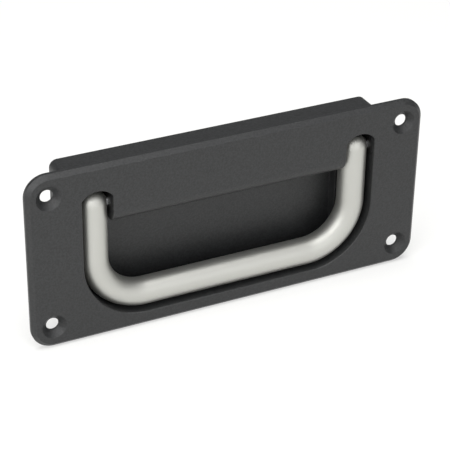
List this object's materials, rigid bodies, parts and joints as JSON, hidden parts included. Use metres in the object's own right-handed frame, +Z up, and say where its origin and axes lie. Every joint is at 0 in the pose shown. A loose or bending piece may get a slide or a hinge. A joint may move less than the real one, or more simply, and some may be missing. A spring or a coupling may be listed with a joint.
{
  "type": "recessed pull handle",
  "caption": "Recessed tray handle with a folding bail of round rod, sprung to lie flush in its black tray and fixed through four countersunk holes",
  "frame": {"origin": "centre of the four screw holes, on the flange's back face", "axes": "+X runs across the width to the right as seen from the front, +Y from the face into the case, +Z up"},
  "size_m": [0.18, 0.0212, 0.08],
  "materials": {
    "powder_coated_zinc": "fine-textured black powder coat on die-cast zinc",
    "stainless_rod": "fine-blasted stainless steel rod",
    "ground_steel": "ground steel",
    "bearing_polymer": "moulded dark grey bearing polymer",
    "black_screw_steel": "black-oxidised steel",
    "spring_steel": "drawn spring steel wire",
    "black_rubber": "moulded nitrile rubber"
  },
  "bodies": {
    "tray": {"tray": "powder_coated_zinc", "bush_left_outer": "bearing_polymer", "bush_left_inner": "bearing_polymer", "bush_right_inner": "bearing_polymer", "bush_right_outer": "bearing_polymer", "spring_left": "spring_steel", "spring_right": "spring_steel", "buffer_left": "black_rubber", "buffer_right": "black_rubber"},
    "bail": {"bail": "stainless_rod", "axle": "ground_steel", "leg_screw_left": "black_screw_steel", "leg_screw_right": "black_screw_steel", "stop_pin_left": "ground_steel", "stop_pin_right": "ground_steel"}
  },
  "joints": [
    {"name": "bail_swing", "type": "hinge", "parent": "tray", "child": "bail", "pos_m": [0, 0.0035, 0.02], "axis": [-1, 0, 0], "range_deg": [0, 90], "stiffness_Nm_per_rad": 0.27, "springref_deg": -57.3, "deforming": ["spring_left", "spring_right"]}
  ]
}
